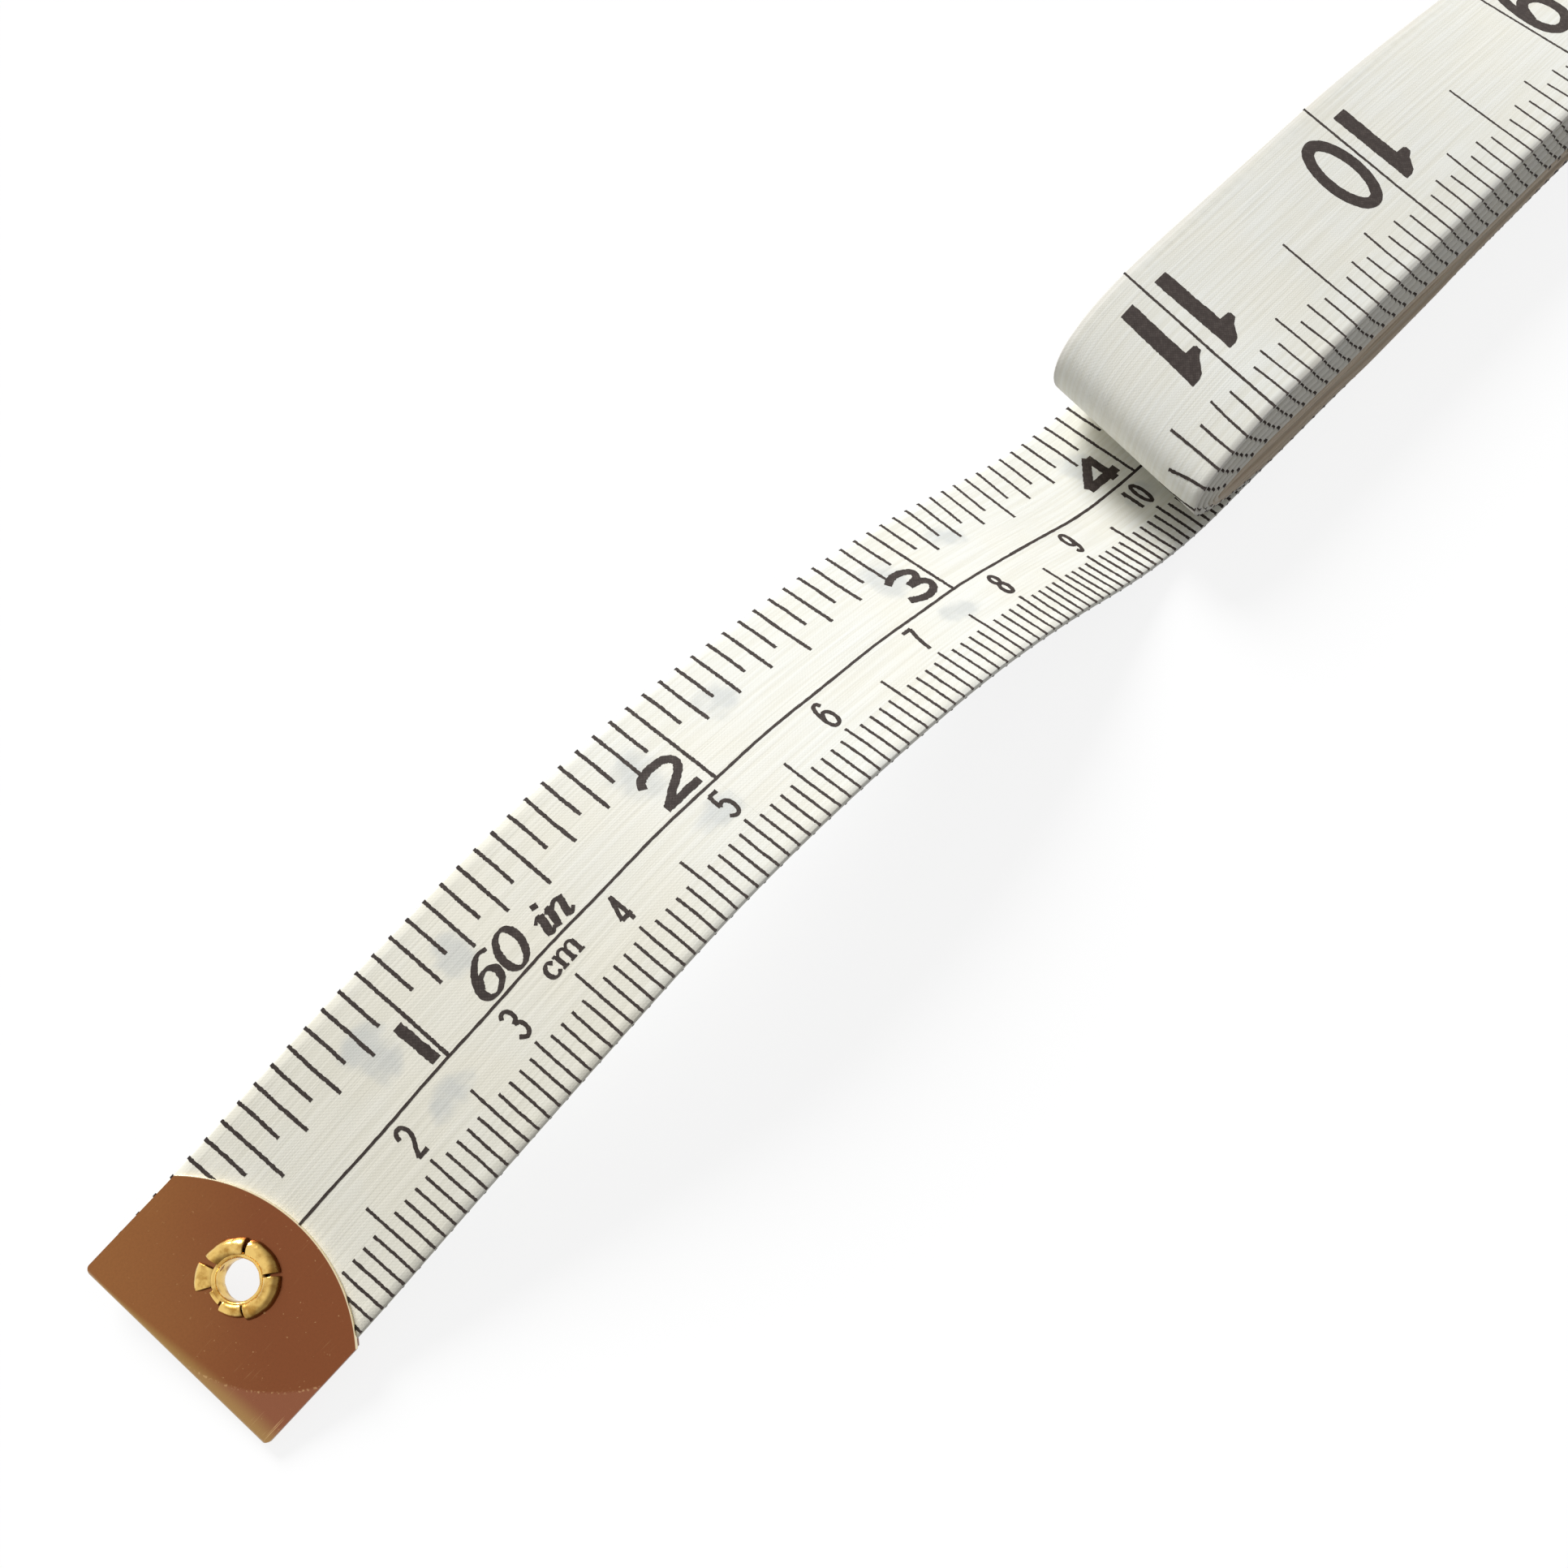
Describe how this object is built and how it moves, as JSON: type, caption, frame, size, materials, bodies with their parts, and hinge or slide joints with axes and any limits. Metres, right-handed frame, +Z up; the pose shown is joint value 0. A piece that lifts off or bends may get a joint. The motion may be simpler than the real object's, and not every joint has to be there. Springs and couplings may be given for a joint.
{
  "type": "cloth tape measure",
  "caption": "Flexible sewing tape measure, loosely rolled flat, with its zero end drawn out and finished by a folded brass tab held by a clinched eyelet.",
  "frame": {"origin": "on the table under the middle of the whole object's bounding box", "axes": "+X along the tape from the brass tab at the zero end to the roll, +Y across the tape, +Z up from the table"},
  "size_m": [0.19, 0.0174, 0.0104],
  "materials": {
    "cloth": "coated matte",
    "tab_brass": "polished",
    "eyelet_brass": "bright",
    "clip_steel": "satin"
  },
  "bodies": {
    "roll": {"tape_outer_turn": "cloth", "tape_inner_turns": "cloth", "far_end_clip": "clip_steel"},
    "tail": {"tape_tail": "cloth"},
    "tab": {"zero_end_tab": "tab_brass", "tape_end": "cloth", "eyelet": "eyelet_brass"}
  },
  "joints": [
    {"name": "tail_lift", "type": "hinge", "parent": "roll", "child": "tail", "pos_m": [-0.00137, -0.00053, 0.00122], "axis": [0, 1, 0], "range_deg": [0, 60]},
    {"name": "tab_flex", "type": "hinge", "parent": "tail", "child": "tab", "pos_m": [-0.08306, -0.00053, 0.0037], "axis": [-0.0217, 0.994, 0.1076], "range_deg": [0, 70]}
  ]
}
